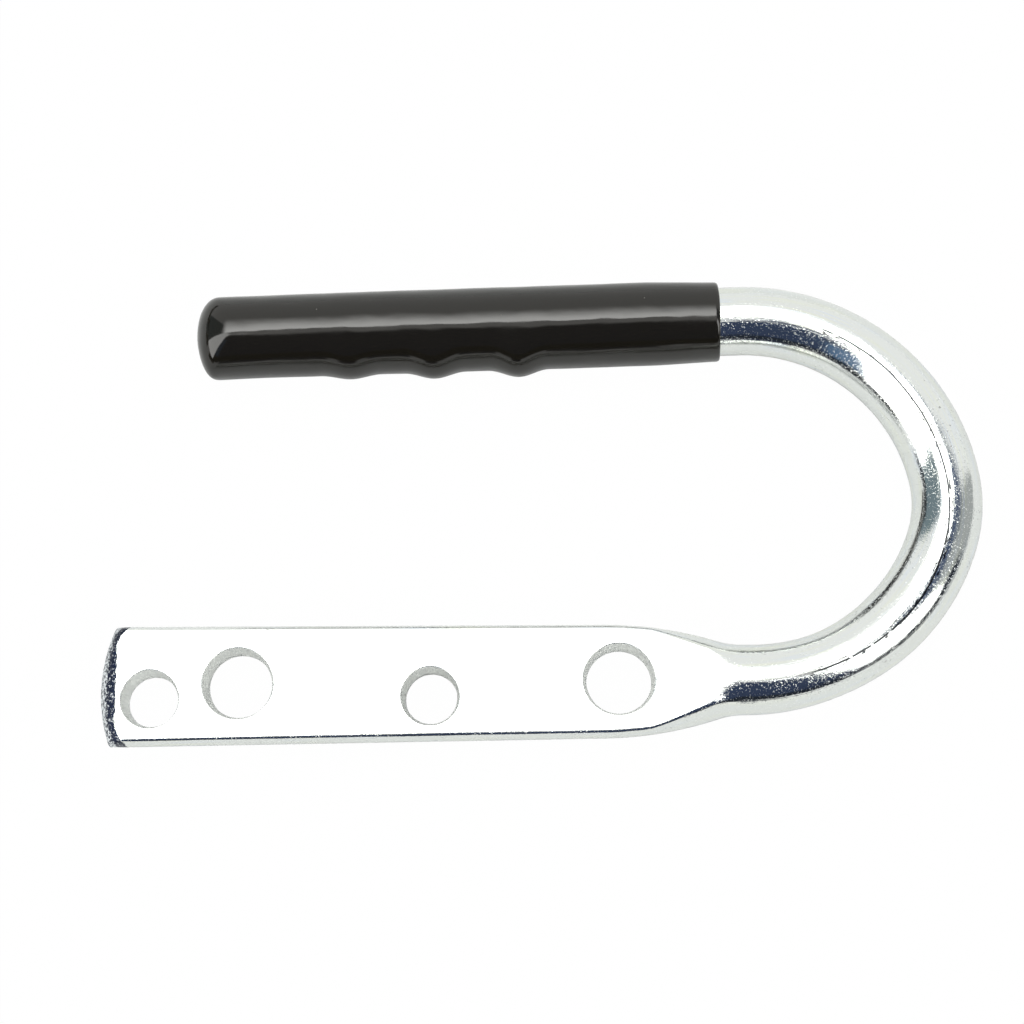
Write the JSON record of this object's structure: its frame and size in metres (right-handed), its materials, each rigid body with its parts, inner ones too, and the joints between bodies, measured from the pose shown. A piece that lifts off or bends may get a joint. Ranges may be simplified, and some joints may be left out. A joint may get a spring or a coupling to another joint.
{
  "type": "hook handle bar",
  "caption": "U-bent round steel handle bar with one end forged into a flat drilled tang, and a ridged vinyl grip pushed on the other arm.",
  "frame": {"origin": "centre of the large hole nearest the tang's free end, on the plane that holds the bar's axis, which is the tang's mid-plane", "axes": "+X along the tang from its free end to the bend, +Y across from the tang to the grip arm, +Z square to the tang, on the side where the punched holes open out"},
  "size_m": [0.1994, 0.107, 0.0196],
  "materials": {
    "zinc_plated_steel": "bright zinc plate over forged and drawn steel",
    "black_vinyl": "glossy dip-moulded vinyl"
  },
  "bodies": {
    "root": {"steel_bar": "zinc_plated_steel", "grip_sleeve": "black_vinyl"}
  },
  "joints": []
}
